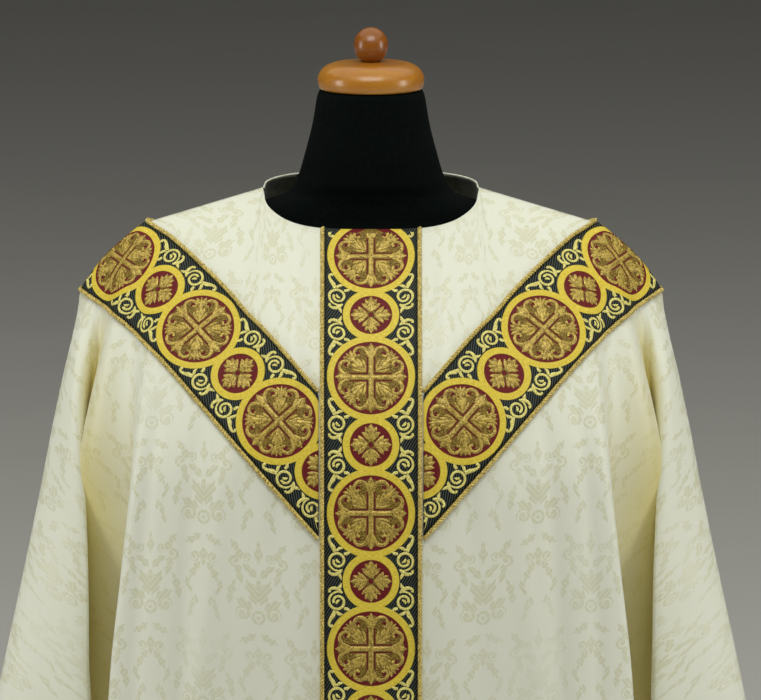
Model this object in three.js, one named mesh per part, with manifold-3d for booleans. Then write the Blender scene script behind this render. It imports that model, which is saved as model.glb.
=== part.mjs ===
// Semi-gothic chasuble draped over a limbless dress form on a wooden stand.
// Millimetres, +Z up. The front faces -Y and the wearer's left is +X. The origin is on the
// floor, under the middle of the base.
import * as THREE from 'three';
import Module from 'manifold-3d';

// ---- Driving dimensions --------------------------------------------------------------

const CLOTH = 2;              // damask with its interlining
const SEAM_GAP = 0.3;         // between pieces that are sewn or laid together
const GALLOON_WIDTH = 93.4;   // woven band between its two cords
const GALLOON = 2.6;          // woven band with its stiffening
const CORD = 5;               // diameter of the twisted piping

// The shoulder seam runs from the neck point over the end of the shoulder to the lower
// edge of the orphrey, where the cloth starts to hang free.
const NECK_POINT = { x: 112, z: 1450 };
const SHOULDER_END = { x: 236, z: 1412.5 };
const BAND_CORNER = { x: 303, z: 1340 };

// Levels that the drape is worked out at.
const CHEST_Z = 1235;
const WAIST_Z = 1085;
const HIP_Z = 930;

// Where the middle lines of the two orphrey arms meet on the centre line, and the angle
// at which they rise from there. Towards the shoulder they bend outwards, by this many
// degrees a millimetre.
const ARMS = {
  front: { meet: 1132, rise: 48.2 },
  back: { meet: 1132, rise: 44.7 },
};
const ARM_BEND = { from: 180, full: 280, degrees: 0.041 };

// ---- Drape tables --------------------------------------------------------------------
// A panel hangs on lines that run from its top edge to its hem. x is measured outwards
// from the centre line and out is measured forwards on the front, backwards on the back.
// lean is the angle from plumb at which a line leaves the top edge, and reach is how far
// it goes that way before it turns down.

const shoulder = (share) => THREE.MathUtils.lerp(NECK_POINT.z, SHOULDER_END.z, share);
const alongShoulder = (share) => THREE.MathUtils.lerp(NECK_POINT.x, SHOULDER_END.x, share);

const SHOULDER_TOPS = [
  { x: NECK_POINT.x, out: 0, z: NECK_POINT.z, lean: 68, reach: 58 },
  { x: NECK_POINT.x, out: 0, z: NECK_POINT.z, lean: 74, reach: 52 },
  { x: alongShoulder(0.4), out: 0, z: shoulder(0.4), lean: 78, reach: 48 },
  { x: alongShoulder(0.76), out: 0, z: shoulder(0.76), lean: 76, reach: 46 },
  { x: SHOULDER_END.x - 3, out: 0, z: SHOULDER_END.z + 1, lean: 72, reach: 42 },
  { x: SHOULDER_END.x + 3, out: 0, z: SHOULDER_END.z - 2, lean: 70, reach: 42 },
  { x: 275, out: 0, z: 1380, lean: 62, reach: 36 },
  { x: 295, out: 0, z: 1353, lean: 45, reach: 26 },
  { x: BAND_CORNER.x, out: 0, z: BAND_CORNER.z, lean: 20, reach: 16 },
  { x: BAND_CORNER.x + 1, out: 0, z: BAND_CORNER.z - 8, lean: 10, reach: 14 },
  { x: BAND_CORNER.x + 1.5, out: 0, z: BAND_CORNER.z - 16, lean: 0, reach: 14 },
];

// Share of the way from the centre line to the main ridge for the plain middle lines.
const MIDDLE_SHARES = [0, 0.2, 0.38, 0.52, 0.64, 0.74, 0.87];

// Each fold row gives x and out at the chest, waist, hip and hem, and the hem's height.
const FRONT = {
  name: 'front',
  facing: -1,
  neckTops: [
    { x: 0, out: 75, z: 1416, lean: 42, reach: 115 },
    { x: 42, out: 75, z: 1416, lean: 42, reach: 115 },
    { x: 84, out: 63, z: 1421, lean: 45, reach: 100 },
    { x: 110, out: 33, z: 1436, lean: 52, reach: 82 },
  ],
  centre: { chest: 203, waist: 215, hip: 216, hem: 217, hemZ: 262 },
  swing: 1,
  folds: [
    { fold: 'mainRidge', chest: [242, 166], waist: [267, 168], hip: [288, 162], hem: [300, 158], hemZ: 352 },
    { fold: 'mainTuck', chest: [250, 120], waist: [204, 112], hip: [150, 104], hem: [135, 100], hemZ: 590 },
    { fold: 'hiddenEnd', chest: [298, 120], waist: [320, 66], hip: [345, 22], hem: [352, 18], hemZ: 760 },
    { fold: 'valley', chest: [284, 26], waist: [326, 40], hip: [354, 38], hem: [360, 36], hemZ: 800 },
    { fold: 'outerRidge', chest: [303, 96], waist: [272, 118], hip: [260, 130], hem: [257, 132], hemZ: 830 },
    { fold: 'side', chest: [333, 34], waist: [374, 42], hip: [420, 46], hem: [434, 46], hemZ: 862 },
    { fold: 'sideValley', chest: [303, 12], waist: [312, 14], hip: [320, 16], hem: [322, 16], hemZ: 884 },
    { fold: 'seam', chest: [302, 0], waist: [310, 0], hip: [318, 0], hem: [320, 0], hemZ: 885 },
  ],
};

const BACK = {
  name: 'back',
  facing: 1,
  neckTops: [
    { x: 0, out: 72, z: 1458, lean: 50, reach: 90 },
    { x: 42, out: 72, z: 1458, lean: 50, reach: 90 },
    { x: 84, out: 60, z: 1457, lean: 54, reach: 84 },
    { x: 110, out: 32, z: 1454, lean: 60, reach: 72 },
  ],
  centre: { chest: 160, waist: 166, hip: 168, hem: 170, hemZ: 240 },
  swing: 0.96,
  folds: [
    { fold: 'mainRidge', chest: [238, 128], waist: [260, 134], hip: [280, 132], hem: [292, 130], hemZ: 340 },
    { fold: 'mainTuck', chest: [246, 96], waist: [214, 90], hip: [168, 84], hem: [150, 82], hemZ: 596 },
    { fold: 'hiddenEnd', chest: [294, 98], waist: [316, 60], hip: [340, 20], hem: [348, 17], hemZ: 765 },
    { fold: 'valley', chest: [285, 26], waist: [322, 34], hip: [350, 34], hem: [358, 33], hemZ: 802 },
    { fold: 'outerRidge', chest: [302, 80], waist: [276, 98], hip: [264, 110], hem: [260, 112], hemZ: 832 },
    { fold: 'side', chest: [331, 32], waist: [370, 38], hip: [414, 42], hem: [428, 42], hemZ: 862 },
    { fold: 'sideValley', chest: [303, 12], waist: [312, 14], hip: [320, 16], hem: [322, 16], hemZ: 884 },
    { fold: 'seam', chest: [302, 0], waist: [310, 0], hip: [318, 0], hem: [320, 0], hemZ: 885 },
  ],
};

// Powers by which a panel's middle falls back, and its hem rises, towards the main ridge.
const MIDDLE_BOW = 2.2;
const HEM_ROUND = 2.6;

// Facets of a panel between one drape line and the next, from the centre line outwards,
// and down each stretch of a line.
const FACETS_ACROSS = [1, 1, 1, 1, 1, 2, 2, 3, 3, 3, 3, 3, 2, 2];
const FACETS_DOWN = [4, 5, 2, 1, 1];

// ---- Drape surface -------------------------------------------------------------------

// Control points of one panel: rows from the top edge to the hem, and in each row one
// point per line from the wearer's right to the left.
function drapeNet(panel) {
  const tops = [...panel.neckTops, ...SHOULDER_TOPS];
  const levels = [
    { key: 'chest', z: CHEST_Z },
    { key: 'waist', z: WAIST_Z },
    { key: 'hip', z: HIP_Z },
    { key: 'hem', z: null },
  ];
  const half = [
    tops.map((top) => [top.x, top.out, top.z]),
    tops.map((top) => {
      const lean = THREE.MathUtils.degToRad(top.lean);
      const spread = 0.06 * top.reach * Math.min(top.x / NECK_POINT.x, 1);
      return [top.x + spread, top.out + top.reach * Math.sin(lean), top.z - top.reach * Math.cos(lean)];
    }),
  ];
  for (const level of levels) {
    const [ridgeX, ridgeOut] = panel.folds[0][level.key];
    const centreOut = panel.centre[level.key];
    const hemRise = panel.folds[0].hemZ - panel.centre.hemZ;
    const middle = MIDDLE_SHARES.map((share) => [
      share * ridgeX,
      centreOut - (centreOut - ridgeOut) * share ** MIDDLE_BOW,
      level.z ?? panel.centre.hemZ + hemRise * share ** HEM_ROUND,
    ]);
    const folds = panel.folds.map((row) => [...row[level.key], level.z ?? row.hemZ]);
    half.push([...middle, ...folds]);
  }
  const [hip, hem] = half.slice(-2);
  half.splice(-1, 0, hip.map((point, i) => point.map((value, axis) => (value + hem[i][axis]) / 2)));
  return half.map((row, level) => {
    const seamOut = ([x, out, z]) => [x, Math.max(out, SEAM_GAP / 2), z];
    const swing = level > 2 ? panel.swing : 1;
    const right = row.slice(1).map(([x, out, z], i) => {
      const loose = i < row.length - 4 ? swing : 1;
      return seamOut([-x * loose, out, z]);
    });
    return [...right.reverse(), ...row.map(seamOut)];
  });
}

// Weights of the three control points that hold a clamped quadratic B-spline of count
// points at t from 0 to 1, and the first one's index. Just past an end it runs on.
function splineWeights(count, t) {
  const spans = count - 2;
  const first = Math.min(Math.max(Math.floor(t * spans), 0), spans - 1);
  const knot = (i) => Math.min(Math.max(i, 0), spans) / spans;
  const rise = (from, to) => (t - knot(from)) / (knot(to) - knot(from));
  const near = rise(first, first + 1);
  const before = rise(first - 1, first + 1);
  const after = rise(first, first + 2);
  const weights = [(1 - before) * (1 - near), 0, after * near];
  weights[1] = 1 - weights[0] - weights[2];
  return { first, weights };
}

class Drape {
  constructor(panel) {
    this.name = panel.name;
    this.facing = panel.facing;
    this.net = drapeNet(panel);
    this.lines = this.net[0].length;
  }

  point(u, v) {
    const across = splineWeights(this.lines, u);
    const down = splineWeights(this.net.length, v);
    const sum = [0, 0, 0];
    down.weights.forEach((rowWeight, i) => {
      across.weights.forEach((lineWeight, j) => {
        const control = this.net[down.first + i][across.first + j];
        control.forEach((value, axis) => {
          sum[axis] += rowWeight * lineWeight * value;
        });
      });
    });
    return new THREE.Vector3(sum[0], this.facing * sum[1], sum[2]);
  }

  slopes(u, v) {
    const step = 0.001;
    const top = Math.max(v, 2 * step);
    const across = this.point(u + step, top).sub(this.point(u - step, top)).divideScalar(2 * step);
    const down = this.point(u, top + step).sub(this.point(u, top - step)).divideScalar(2 * step);
    return { across, down };
  }

  normal(u, v) {
    const { across, down } = this.slopes(u, v);
    return across.cross(down).normalize().multiplyScalar(this.facing);
  }

  // The point that lies lift above the cloth's face.
  raised(u, v, lift) {
    return this.point(u, v).addScaledVector(this.normal(u, v), lift);
  }

  // The same, kept on its own side of the seam.
  lifted(u, v, lift) {
    const point = this.raised(u, v, lift);
    point.y = this.facing * Math.max(this.facing * point.y, SEAM_GAP / 2);
    return point;
  }

  // The place across a line of height v that is x from the centre line.
  acrossAt(x, v) {
    return bisect((u) => this.point(u, v).x - x, 0.2, 0.8);
  }
}

function bisect(value, low, high) {
  const rising = value(high) > value(low);
  for (let i = 0; i < 40; i += 1) {
    const middle = (low + high) / 2;
    if (value(middle) > 0 === rising) high = middle;
    else low = middle;
  }
  return (low + high) / 2;
}

// Walks ahead on the cloth and returns where it ends and which way it faces. turn gives
// the bend of the way at a distance walked, in radians a millimetre.
function walk(drape, start, heading, distance, turn = () => 0) {
  const stride = 6;
  const count = Math.max(1, Math.ceil(Math.abs(distance) / stride));
  const ahead = heading.clone().normalize();
  let { u, v } = start;
  for (let i = 0; i < count; i += 1) {
    const { across, down } = drape.slopes(u, v);
    const aa = across.dot(across);
    const dd = down.dot(down);
    const ad = across.dot(down);
    const ah = across.dot(ahead);
    const dh = down.dot(ahead);
    const scale = distance / count / (aa * dd - ad * ad);
    u += scale * (dd * ah - ad * dh);
    v += scale * (aa * dh - ad * ah);
    const normal = drape.normal(u, v);
    ahead.applyAxisAngle(normal, turn((i + 1) * distance / count) * distance / count);
    ahead.addScaledVector(normal, -ahead.dot(normal)).normalize();
  }
  return { u, v, heading: ahead };
}

// ---- Solids --------------------------------------------------------------------------

function solid(points, faces) {
  const corners = faces.flat().map((i) => points[i]);
  let volume = 0;
  for (let i = 0; i < corners.length; i += 3) {
    volume += corners[i].dot(corners[i + 1].clone().cross(corners[i + 2]));
  }
  const ordered = volume > 0 ? faces : faces.map(([a, b, c]) => [a, c, b]);
  const geometry = new THREE.BufferGeometry();
  geometry.setAttribute('position', new THREE.Float32BufferAttribute(points.flatMap((p) => p.toArray()), 3));
  geometry.setIndex(ordered.flat());
  geometry.computeVertexNormals();
  return geometry;
}

// A wall between two grids of points, closed round its four edges.
function wall(face, lining) {
  const rows = face.length;
  const columns = face[0].length;
  const points = [...face.flat(), ...lining.flat()];
  const at = (side, i, j) => side * rows * columns + i * columns + j;
  const faces = [];
  const quad = (a, b, c, d) => faces.push([a, b, c], [a, c, d]);
  for (let i = 0; i < rows - 1; i += 1) {
    for (let j = 0; j < columns - 1; j += 1) {
      quad(at(0, i, j), at(0, i, j + 1), at(0, i + 1, j + 1), at(0, i + 1, j));
      quad(at(1, i, j), at(1, i + 1, j), at(1, i + 1, j + 1), at(1, i, j + 1));
    }
  }
  for (let j = 0; j < columns - 1; j += 1) {
    quad(at(0, 0, j), at(1, 0, j), at(1, 0, j + 1), at(0, 0, j + 1));
    quad(at(0, rows - 1, j), at(0, rows - 1, j + 1), at(1, rows - 1, j + 1), at(1, rows - 1, j));
  }
  for (let i = 0; i < rows - 1; i += 1) {
    quad(at(0, i, 0), at(0, i + 1, 0), at(1, i + 1, 0), at(1, i, 0));
    quad(at(0, i, columns - 1), at(1, i, columns - 1), at(1, i + 1, columns - 1), at(0, i + 1, columns - 1));
  }
  return solid(points, faces);
}

// A closed body through rings that each have the same number of points.
function loft(rings) {
  const sides = rings[0].length;
  const points = rings.flat();
  const faces = [];
  for (let i = 0; i < rings.length - 1; i += 1) {
    for (let j = 0; j < sides; j += 1) {
      const next = (j + 1) % sides;
      const low = i * sides;
      const high = low + sides;
      faces.push([low + j, low + next, high + next], [low + j, high + next, high + j]);
    }
  }
  const last = (rings.length - 1) * sides;
  for (let j = 1; j < sides - 1; j += 1) {
    faces.push([0, j + 1, j], [last, last + j, last + j + 1]);
  }
  return solid(points, faces);
}

// Cut bodies lose the facets that are flat to this much.
const FACET_TOLERANCE = 0.1;

const solids = await Module();
solids.setup();

// What is left of a body once the tools are cut from it, without loose slivers.
function cut(geometry, tools) {
  const manifold = (source) => new solids.Manifold(new solids.Mesh({
    numProp: 3,
    vertProperties: new Float32Array(source.attributes.position.array),
    triVerts: new Uint32Array(source.index.array),
  }));
  const rest = tools.reduce((body, tool) => body.subtract(manifold(tool)), manifold(geometry));
  const main = rest.simplify(FACET_TOLERANCE).decompose().sort((a, b) => b.volume() - a.volume())[0];
  const { vertProperties, triVerts } = main.getMesh();
  const result = new THREE.BufferGeometry();
  result.setAttribute('position', new THREE.BufferAttribute(vertProperties, 3));
  result.setIndex(new THREE.BufferAttribute(triVerts, 1));
  result.computeVertexNormals();
  return result;
}

const shareList = (count) => Array.from({ length: count + 1 }, (_, i) => i / count);

// Parameter values that split each span of a spline into its number of facets.
function splitSpans(facets) {
  return facets.flatMap((count, i) => shareList(count).slice(i ? 1 : 0).map((s) => (i + s) / facets.length));
}

// ---- Pieces --------------------------------------------------------------------------

const PIECES = new THREE.Group();

const FINISH = {
  damask: { color: 0xe9e4c9, roughness: 0.45 },
  galloon: { color: 0x8a7428, roughness: 0.7 },
  cord: { color: 0xc9ad58, roughness: 0.4, metalness: 0.3 },
  jersey: { color: 0x0b1011, roughness: 0.9 },
  beech: { color: 0xb9722b, roughness: 0.3 },
  turned: { color: 0xa5602a, roughness: 0.3 },
};

function addPiece(name, finish, geometry) {
  const mesh = new THREE.Mesh(geometry, new THREE.MeshStandardMaterial(FINISH[finish]));
  mesh.name = name;
  PIECES.add(mesh);
}

// Where the facets of a panel have their corners, across it and down it.
function panelPlaces() {
  const [middle, ...outer] = FACETS_ACROSS;
  return {
    across: splitSpans([...[...outer].reverse(), middle, ...outer]),
    down: splitSpans(FACETS_DOWN),
  };
}

function panelWall(drape) {
  const { across, down } = panelPlaces();
  const grid = (lift) => down.map((v) => across.map((u) => drape.lifted(u, v, lift)));
  return wall(grid(0), grid(-CLOTH));
}

// The room that bands and piping keep clear of: the panel's facets with the gap above
// them, a little past the panel's top and hem.
function panelBed(drape) {
  const { across, down } = panelPlaces();
  const past = 0.01;
  const rows = [-past, ...down, 1 + past];
  const grid = (lift) => rows.map((v) => across.map((u) => drape.raised(u, v, lift)));
  return wall(grid(SEAM_GAP), grid(-2 * CLOTH));
}

// Distance of a cord's middle from the middle of its band.
const CORD_LINE = GALLOON_WIDTH / 2 + 2 * SEAM_GAP + CORD / 2;

const BAND_STRANDS = [-1, -0.66, -0.33, 0, 0.33, 0.66, 1];

// A woven band and the piping along its edges. strand gives the places that lie at an
// offset from the band's middle line. Both start inside the panel's facets and are cut
// back to just above them, and the piping is kept just clear of the band.
function addBand(drape, name, strand, edges, bed) {
  const body = (width, top, bottom, raise) => {
    const strands = BAND_STRANDS.map((share) => strand((share * width) / 2, 0));
    const grid = (lift) => strands[0].map((_, i) => strands.map((row) => raise(row[i].u, row[i].v, lift)));
    return wall(grid(top), grid(bottom));
  };
  const onSide = (u, v, lift) => drape.lifted(u, v, lift);
  const free = (u, v, lift) => drape.raised(u, v, lift);
  const band = cut(body(GALLOON_WIDTH, SEAM_GAP + GALLOON, -CLOTH / 2, onSide), [bed]);
  addPiece(name, 'galloon', band);
  const room = [onSide, free].map((raise) => (
    body(GALLOON_WIDTH + 6 * SEAM_GAP, GALLOON + 6 * SEAM_GAP, -CLOTH, raise)
  ));
  for (const [edge, side] of edges) {
    const cord = cordBody(drape, strand(side * CORD_LINE, CORD / 2));
    addPiece(`${name}_cord_${edge}`, 'cord', cut(cord, [bed, ...room, band]));
  }
}

// Piping that lies on the cloth along a row of places.
function cordBody(drape, places) {
  const radius = CORD / 2;
  const sides = 5;
  const path = places.map(({ u, v }) => drape.point(u, v).addScaledVector(drape.normal(u, v), radius));
  return loft(path.map((centre, i) => {
    const before = path[Math.max(i - 1, 0)];
    const after = path[Math.min(i + 1, path.length - 1)];
    const along = after.clone().sub(before).normalize();
    const up = drape.normal(places[i].u, places[i].v);
    const aside = along.clone().cross(up).normalize();
    up.crossVectors(aside, along);
    return shareList(sides).slice(0, -1).map((turn) => {
      const angle = 2 * Math.PI * (turn + 0.5 / sides);
      const point = centre.clone();
      point.addScaledVector(aside, radius * Math.cos(angle));
      point.addScaledVector(up, radius * Math.sin(angle));
      point.y = drape.facing * Math.max(drape.facing * point.y, SEAM_GAP / 2);
      return point;
    });
  }));
}

function addColumn(drape, bed) {
  const stations = splitSpans(FACETS_DOWN);
  const strand = (x) => stations.map((v) => ({ u: drape.acrossAt(x, v), v }));
  addBand(drape, `${drape.name}_column`, strand, [['left', 1], ['right', -1]], bed);
}

// Places along one strand of an arm, offset from its middle line, from the column's cord
// up to the shoulder seam.
function armStrand(drape, side, offset, innerX, count) {
  const { meet, rise } = ARMS[drape.name];
  const angle = THREE.MathUtils.degToRad(rise);
  const start = { u: 0.5, v: bisect((v) => drape.point(0.5, v).z - meet, 0, 0.9) };
  const heading = new THREE.Vector3(side * Math.cos(angle), 0, Math.sin(angle));
  const turn = (along) => {
    const share = (along - ARM_BEND.from) / (ARM_BEND.full - ARM_BEND.from);
    const degrees = ARM_BEND.degrees * THREE.MathUtils.clamp(share, 0, 1);
    return side * drape.facing * THREE.MathUtils.degToRad(degrees);
  };
  const place = (along) => {
    const foot = walk(drape, start, heading, along, turn);
    const aside = drape.normal(foot.u, foot.v).cross(foot.heading).multiplyScalar(side * drape.facing);
    return walk(drape, foot, aside, offset);
  };
  const xAt = (along) => {
    const { u, v } = place(along);
    return side * drape.point(u, v).x;
  };
  const from = bisect((along) => xAt(along) - innerX, -40, 300);
  let beyond = 250;
  while (place(beyond).v > 0) beyond += 20;
  const to = bisect((along) => -place(along).v, beyond - 20, beyond);
  const crowded = (share) => 1 - (1 - share) ** 1.6;
  return shareList(count).map((share) => place(THREE.MathUtils.lerp(from, to, crowded(share))));
}

function addArm(drape, side, sideName, bed) {
  const innerX = CORD_LINE + CORD / 2 + 3 * SEAM_GAP;
  const strand = (offset, inset) => armStrand(drape, side, offset, innerX + inset, 16);
  addBand(drape, `${drape.name}_arm_${sideName}`, strand, [['upper', -1], ['lower', 1]], bed);
}

// ---- Dress form and stand ------------------------------------------------------------

// Rings of the form's body: height, half width, half depth, and how far its middle lies
// ahead of the neck.
const FORM_RINGS = [
  { z: 800, width: 158, depth: 104, ahead: 6 },
  { z: 812, width: 166, depth: 112, ahead: 6 },
  { z: 900, width: 168, depth: 114, ahead: 6 },
  { z: 1010, width: 152, depth: 104, ahead: 10 },
  { z: 1100, width: 154, depth: 106, ahead: 14 },
  { z: 1200, width: 172, depth: 116, ahead: 20 },
  { z: 1290, width: 190, depth: 112, ahead: 18 },
  { z: 1350, width: 204, depth: 92, ahead: 10 },
  { z: 1385, width: 206, depth: 72, ahead: 4 },
  { z: 1405, width: 194, depth: 58, ahead: 0 },
  { z: 1421, width: 158, depth: 49, ahead: 0 },
  { z: 1434, width: 118, depth: 48, ahead: 0 },
  { z: 1446, width: 86, depth: 52, ahead: -1 },
  { z: 1462, width: 77, depth: 60, ahead: -2 },
  { z: 1486, width: 69.8, depth: 60, ahead: 0 },
  { z: 1518, width: 61.8, depth: 57.5, ahead: 0 },
  { z: 1546, width: 57, depth: 57, ahead: 0 },
  { z: 1551.7, width: 54.5, depth: 54.5, ahead: 0 },
];
const FORM_SIDES = 24;
const FORM_SQUARENESS = 2.3;

const CAP = { z: 1552, radius: 55.8, height: 29.5, seat: 52, widest: 11, flat: 33, crown: 0.8 };
const BALL = { radius: 18.2, height: 36, foot: 9.6, widest: 17 };
const POLE = { radius: 14, bottom: 30 };
const BASE = { radius: 220.5, height: 30, edge: 8 };

function addForm() {
  const rings = FORM_RINGS.map(({ z, width, depth, ahead }) => {
    return shareList(FORM_SIDES).slice(0, -1).map((turn) => {
      const angle = 2 * Math.PI * turn;
      const bend = (value) => Math.sign(value) * Math.abs(value) ** (2 / FORM_SQUARENESS);
      return new THREE.Vector3(width * bend(Math.cos(angle)), depth * bend(Math.sin(angle)) - ahead, z);
    });
  });
  addPiece('form_body', 'jersey', loft(rings));
}

// Bodies turned on a lathe round the upright axis, from [radius, height] profiles.
function turned(profile, sides) {
  const outline = profile.map(([radius, z]) => new THREE.Vector2(radius, z));
  const geometry = new THREE.LatheGeometry(outline, sides);
  geometry.rotateX(Math.PI / 2);
  return geometry;
}

const arc = (count, from, to) => shareList(count).map((s) => from + (to - from) * s);

function addStand() {
  const capTop = CAP.z + CAP.height;
  const bun = [...arc(3, -0.5, 0), ...arc(6, 0, 0.5).slice(1)].map((share) => {
    const angle = Math.PI * share;
    const rise = share < 0 ? CAP.widest : CAP.height - CAP.widest - CAP.crown;
    const straight = share < 0 ? CAP.seat : CAP.flat;
    const radius = straight + (CAP.radius - straight) * Math.cos(angle);
    return [radius, CAP.z + CAP.widest + rise * Math.sin(angle)];
  });
  addPiece('neck_cap', 'beech', turned([[0, CAP.z], ...bun, [12, capTop], [0, capTop]], 24));
  const foot = capTop + SEAM_GAP;
  const egg = arc(8, -0.305 * Math.PI, 0.5 * Math.PI).map((angle) => {
    const rise = angle < 0 ? BALL.widest + 2.5 : BALL.height - BALL.widest;
    return [BALL.radius * Math.cos(angle), foot + BALL.widest + rise * Math.sin(angle)];
  });
  const ball = [[0, foot], [BALL.foot, foot], ...egg.slice(0, -1), [0, egg.at(-1)[1]]];
  addPiece('cap_ball', 'turned', turned(ball, 16));
  const poleTop = FORM_RINGS[0].z - SEAM_GAP;
  const poleFoot = BASE.height + SEAM_GAP;
  addPiece('pole', 'beech', turned([[0, poleFoot], [POLE.radius, poleFoot], [POLE.radius, poleTop], [0, poleTop]], 16));
  addPiece('base', 'beech', turned([
    [0, 0],
    [BASE.radius, 0],
    [BASE.radius, BASE.height - BASE.edge],
    [BASE.radius - BASE.edge, BASE.height],
    [0, BASE.height],
  ], 32));
}

// ---- Assembly ------------------------------------------------------------------------

for (const panel of [FRONT, BACK]) {
  const drape = new Drape(panel);
  const bed = panelBed(drape);
  addPiece(`${drape.name}_panel`, 'damask', panelWall(drape));
  addColumn(drape, bed);
  addArm(drape, 1, 'left', bed);
  addArm(drape, -1, 'right', bed);
}
addForm();
addStand();

export default PIECES;
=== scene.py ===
import math

import bpy
import numpy as np
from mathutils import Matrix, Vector


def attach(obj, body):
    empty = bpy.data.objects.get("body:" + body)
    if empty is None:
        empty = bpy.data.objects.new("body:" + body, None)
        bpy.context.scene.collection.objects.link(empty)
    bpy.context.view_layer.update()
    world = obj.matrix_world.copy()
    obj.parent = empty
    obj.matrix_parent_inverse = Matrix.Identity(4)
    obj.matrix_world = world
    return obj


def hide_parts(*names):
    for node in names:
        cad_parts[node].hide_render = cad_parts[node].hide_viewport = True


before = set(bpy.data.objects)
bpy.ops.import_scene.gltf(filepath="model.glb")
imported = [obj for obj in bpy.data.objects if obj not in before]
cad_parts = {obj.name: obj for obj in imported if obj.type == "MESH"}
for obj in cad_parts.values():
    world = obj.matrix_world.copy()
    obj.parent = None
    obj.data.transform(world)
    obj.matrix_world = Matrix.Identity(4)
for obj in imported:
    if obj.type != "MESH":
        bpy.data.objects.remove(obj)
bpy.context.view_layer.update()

# ---- Camera -------------------------------------------------------------------------
# It stands eight metres in front of the garment and a little above it, tilted down, with
# a long lens. Its focal length and side shift are in steps of the frame, 761 wide.
FRAME_WIDTH = 761
FOCAL_LENGTH = 7775
SIDE_SHIFT = 9.5
DOWNWARD_TILT = 9

lens = bpy.data.cameras.new("camera")
lens.sensor_width = 36
lens.lens = lens.sensor_width * FOCAL_LENGTH / FRAME_WIDTH
lens.shift_x = SIDE_SHIFT / FRAME_WIDTH
lens.clip_end = 60
camera = bpy.data.objects.new("camera", lens)
camera.location = (0, -8, 2.5459)
camera.rotation_euler = (math.radians(90 - DOWNWARD_TILT), 0, 0)
bpy.context.collection.objects.link(camera)
bpy.context.scene.camera = camera


# ---- Front and back panels ----------------------------------------------------------
# Two wide panels of cream silk damask, joined by the shoulder seams, that hang from the
# shoulders in one deep fold and one outer fold on each side. A panel is drawn as a net
# of drape lines, which a smooth surface follows. Sizes are in millimetres.
CLOTH = 1.6
SEAM_GAP = 0.15
PANEL_COLUMNS = 214
PANEL_ROWS = 200
NECK_SIDE = 112
LEVELS = {"chest": 1235, "waist": 1085, "hip": 930, "hem": None}

# Where each drape line leaves the top edge: x, out from the shoulder seam, height, lean
# from plumb in degrees, and reach before it turns down.
SHOULDER_TOPS = [
    (112, 0, 1450, 68, 58),
    (112, 0, 1450, 74, 52),
    (161.6, 0, 1435, 78, 48),
    (206.2, 0, 1421.5, 76, 46),
    (233, 0, 1413.5, 72, 42),
    (239, 0, 1410.5, 70, 42),
    (275, 0, 1380, 62, 36),
    (295, 0, 1353, 45, 26),
    (303, 0, 1340, 20, 16),
    (304, 0, 1332, 10, 14),
    (304.5, 0, 1324, 0, 14),
]
MIDDLE_SHARES = (0, 0.2, 0.38, 0.52, 0.64, 0.74, 0.87)

# Fold rows: (x, out) at the chest, waist, hip and hem, and the height of the hem. Swing is
# the right side's width below the chest as a share of the left side's.
PANELS = {
    "front": {
        "facing": -1,
        "tops": [(0, 75, 1416, 42, 115), (42, 75, 1416, 42, 115), (84, 63, 1421, 45, 100),
                 (110, 33, 1436, 52, 82)],
        "centre": {"chest": 203, "waist": 215, "hip": 216, "hem": 217},
        "hem": 262,
        "swing": 1,
        "folds": [
            ((242, 166), (267, 168), (288, 162), (300, 158), 352),
            ((250, 120), (204, 112), (150, 104), (135, 100), 590),
            ((298, 120), (320, 66), (345, 22), (352, 18), 760),
            ((284, 26), (326, 40), (354, 38), (360, 36), 800),
            ((303, 96), (272, 118), (260, 130), (257, 132), 830),
            ((333, 34), (374, 42), (420, 46), (434, 46), 862),
            ((303, 12), (312, 14), (320, 16), (322, 16), 884),
            ((302, 0), (310, 0), (318, 0), (320, 0), 885),
        ],
    },
    "back": {
        "facing": 1,
        "tops": [(0, 72, 1458, 50, 90), (42, 72, 1458, 50, 90), (84, 60, 1457, 54, 84),
                 (110, 32, 1454, 60, 72)],
        "centre": {"chest": 160, "waist": 166, "hip": 168, "hem": 170},
        "hem": 240,
        "swing": 0.96,
        "folds": [
            ((238, 128), (260, 134), (280, 132), (292, 130), 340),
            ((246, 96), (214, 90), (168, 84), (150, 82), 596),
            ((294, 98), (316, 60), (340, 20), (348, 17), 765),
            ((285, 26), (322, 34), (350, 34), (358, 33), 802),
            ((302, 80), (276, 98), (264, 110), (260, 112), 832),
            ((331, 32), (370, 38), (414, 42), (428, 42), 862),
            ((303, 12), (312, 14), (320, 16), (322, 16), 884),
            ((302, 0), (310, 0), (318, 0), (320, 0), 885),
        ],
    },
}

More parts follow.
